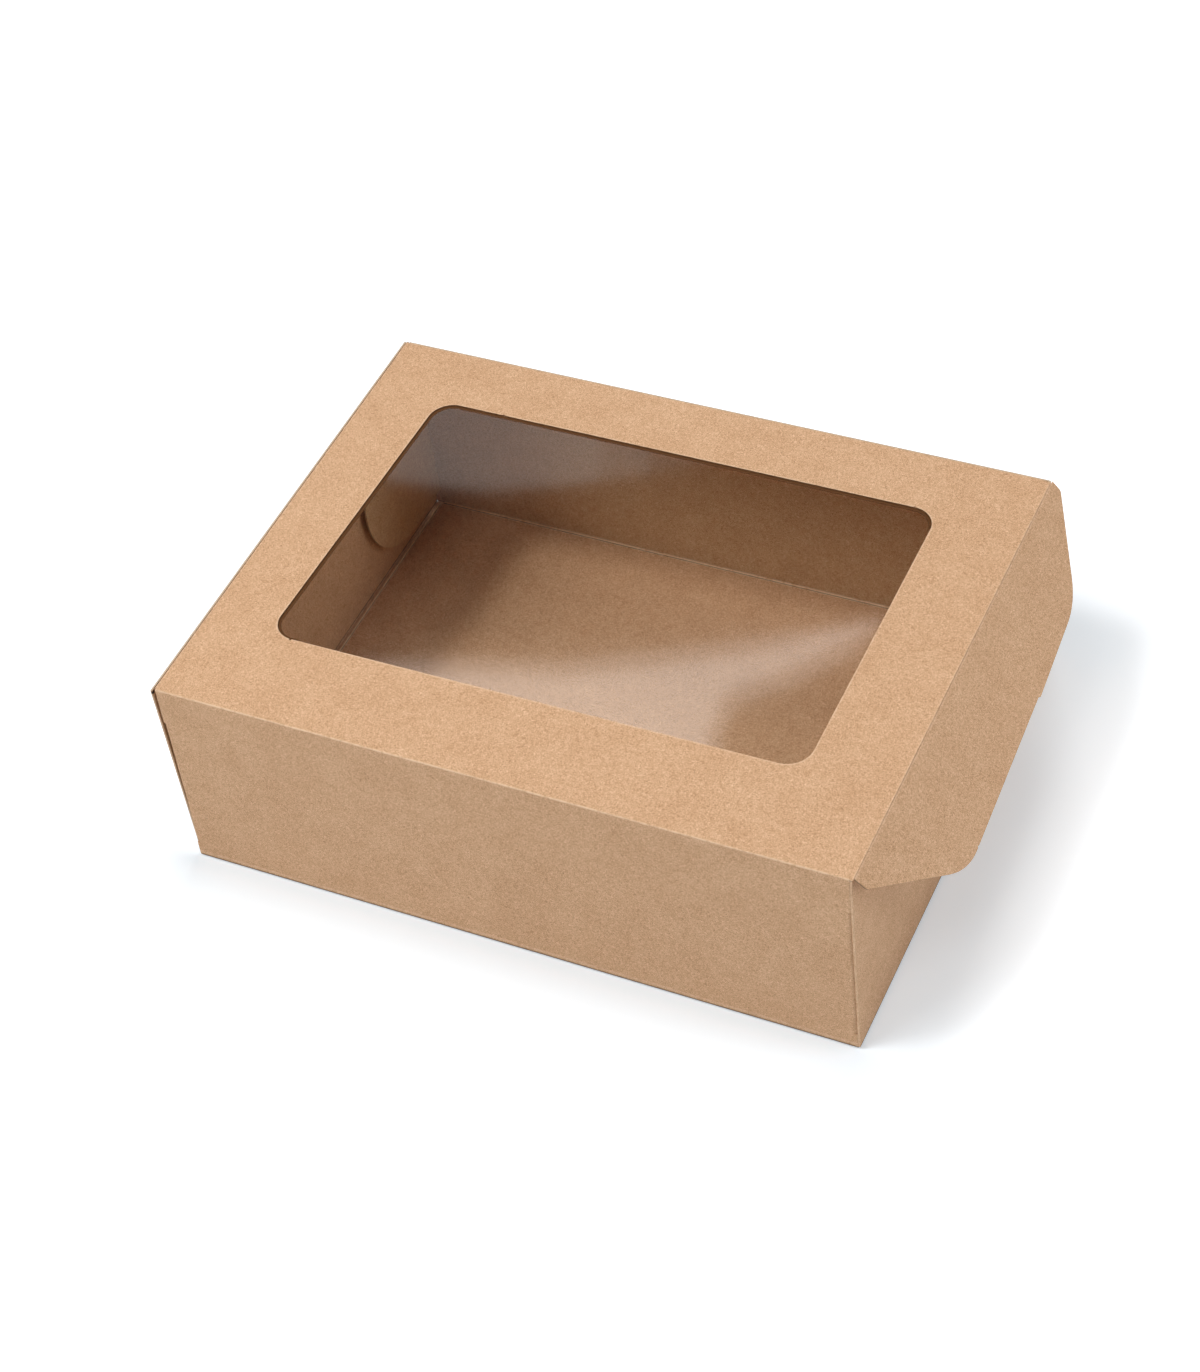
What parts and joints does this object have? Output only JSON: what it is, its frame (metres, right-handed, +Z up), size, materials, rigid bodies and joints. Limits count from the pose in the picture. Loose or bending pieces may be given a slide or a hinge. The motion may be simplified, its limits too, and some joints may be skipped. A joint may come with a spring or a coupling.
{
  "type": "windowed cardboard box",
  "caption": "Shallow folding carton of plain kraft board with a film window in its tuck lid, one end flap standing out of its tuck.",
  "frame": {"origin": "middle of the tray's underside, on the surface the box stands on", "axes": "+X along the long walls towards the untucked flap, +Y from the lid's hinge fold to the back wall, +Z up"},
  "size_m": [0.2202, 0.1532, 0.066],
  "materials": {
    "kraft_board": "matt uncoated kraft",
    "clear_film": "clear, glossy"
  },
  "bodies": {
    "tray": {"tray": "kraft_board"},
    "lid": {"lid": "kraft_board", "window_film": "clear_film"},
    "end_flap": {"end_flap": "kraft_board"}
  },
  "joints": [
    {"name": "lid_fold", "type": "hinge", "parent": "tray", "child": "lid", "pos_m": [0, -0.0755, 0.066], "axis": [1, 0, 0], "range_deg": [0, 200]},
    {"name": "end_flap_fold", "type": "hinge", "parent": "lid", "child": "end_flap", "pos_m": [0.1005, 0, 0.066], "axis": [0, -1, 0], "range_deg": [-35, 50]}
  ]
}
